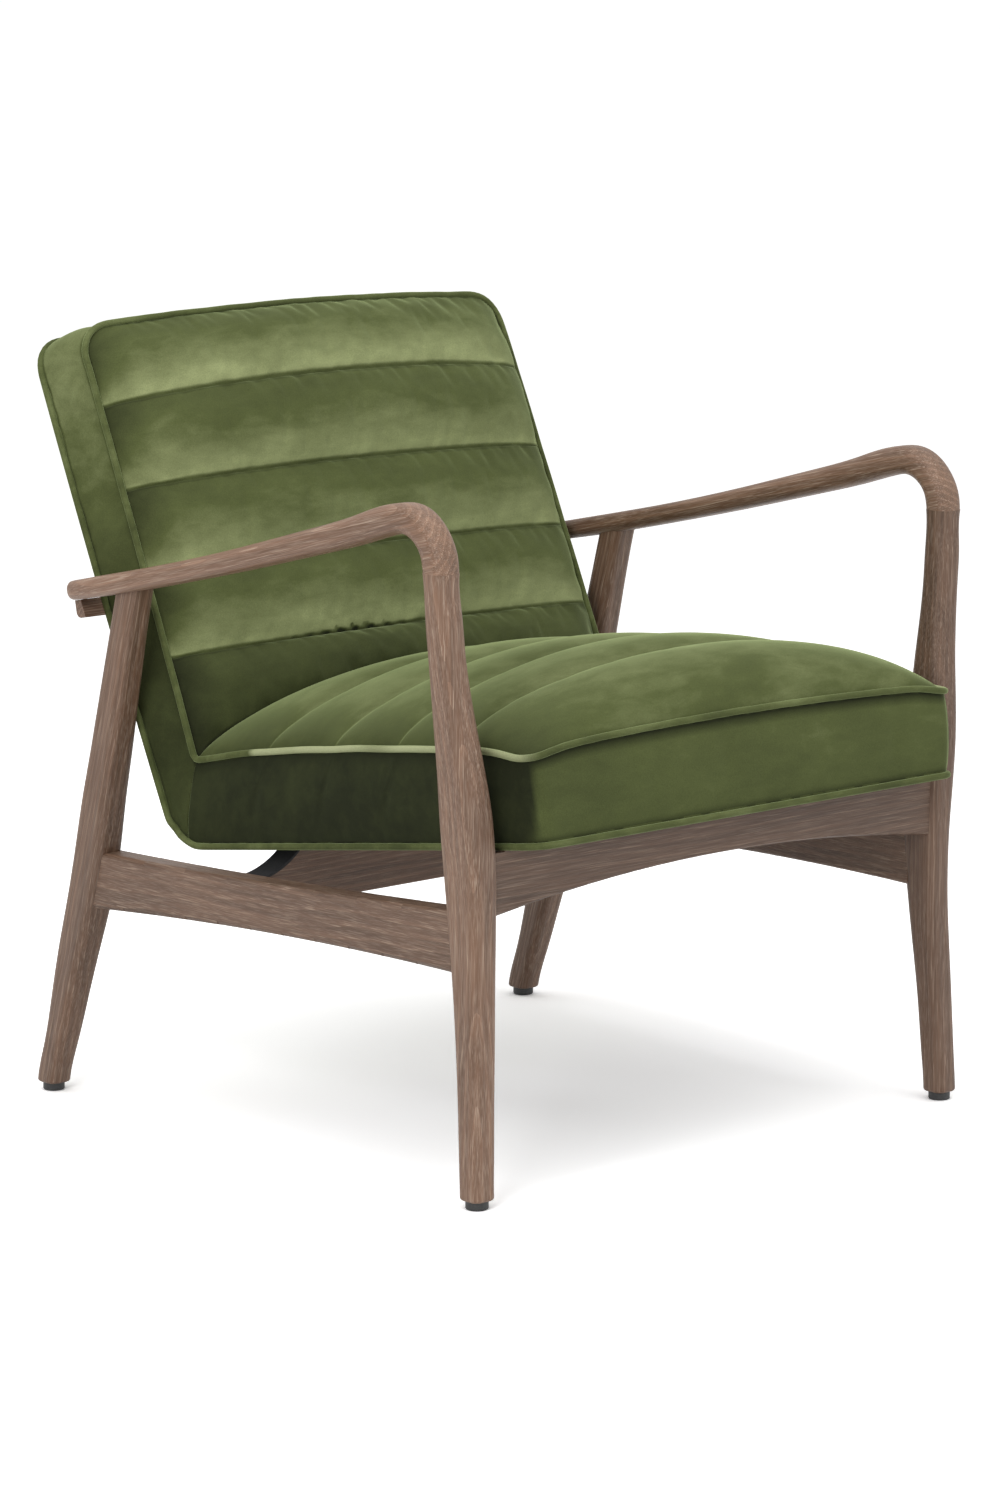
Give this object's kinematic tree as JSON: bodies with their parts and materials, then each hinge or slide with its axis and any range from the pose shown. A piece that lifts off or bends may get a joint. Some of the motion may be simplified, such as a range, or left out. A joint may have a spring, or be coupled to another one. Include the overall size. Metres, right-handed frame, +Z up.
{
  "type": "lounge chair",
  "caption": "Low timber-framed lounge chair with bent armrests, splayed legs and a reclined one-piece seat and back, channel stitched with piped edges.",
  "frame": {"origin": "on the floor, under the middle of the chair's overall width and depth", "axes": "+Z up; the sitter faces -Y; +X is towards the sitter's left, so the left-right symmetry plane is X = 0"},
  "size_m": [0.677, 0.7088, 0.7543],
  "materials": {
    "frame_timber": "brushed, limed grain, satin",
    "dowel_timber": "plain",
    "plywood": "unfinished",
    "velvet": "short-pile velvet",
    "black_cloth": "non-woven",
    "foam": "open-cell foam",
    "black_plastic": "matt",
    "screw_steel": "zinc plated",
    "spring_steel": "oiled"
  },
  "bodies": {
    "root": {"front_leg_left": "frame_timber", "front_leg_right": "frame_timber", "rear_leg_left": "frame_timber", "rear_leg_right": "frame_timber", "armrest_left": "frame_timber", "armrest_right": "frame_timber", "side_rail_left": "frame_timber", "side_rail_right": "frame_timber", "front_rail": "frame_timber", "seat_cross_rail": "frame_timber", "back_crossbar": "frame_timber", "elbow_dowels": "dowel_timber", "rear_leg_dowels": "dowel_timber", "side_rail_dowels": "dowel_timber", "front_rail_dowels": "dowel_timber", "cross_rail_dowels": "dowel_timber", "crossbar_screws": "screw_steel", "back_fixing_screws": "screw_steel", "seat_fixing_screws": "screw_steel", "seat_frame_front_board": "plywood", "seat_frame_front_batten": "plywood", "seat_frame_mid_batten": "plywood", "seat_frame_rear_board": "plywood", "back_frame_top_board": "plywood", "back_frame_mid_board": "plywood", "seat_unit_side_left": "plywood", "seat_unit_side_right": "plywood", "seat_springs": "spring_steel", "spring_clips": "spring_steel", "foot_glides": "black_plastic", "cross_rail_edge_strips": "black_cloth", "dust_cover": "black_cloth", "back_webbing": "black_cloth", "back_outer_panel": "velvet", "seat_cover": "velvet", "back_cover": "velvet", "top_piping": "velvet", "under_piping": "velvet", "seat_foam": "foam", "back_foam": "foam"}
  },
  "joints": []
}
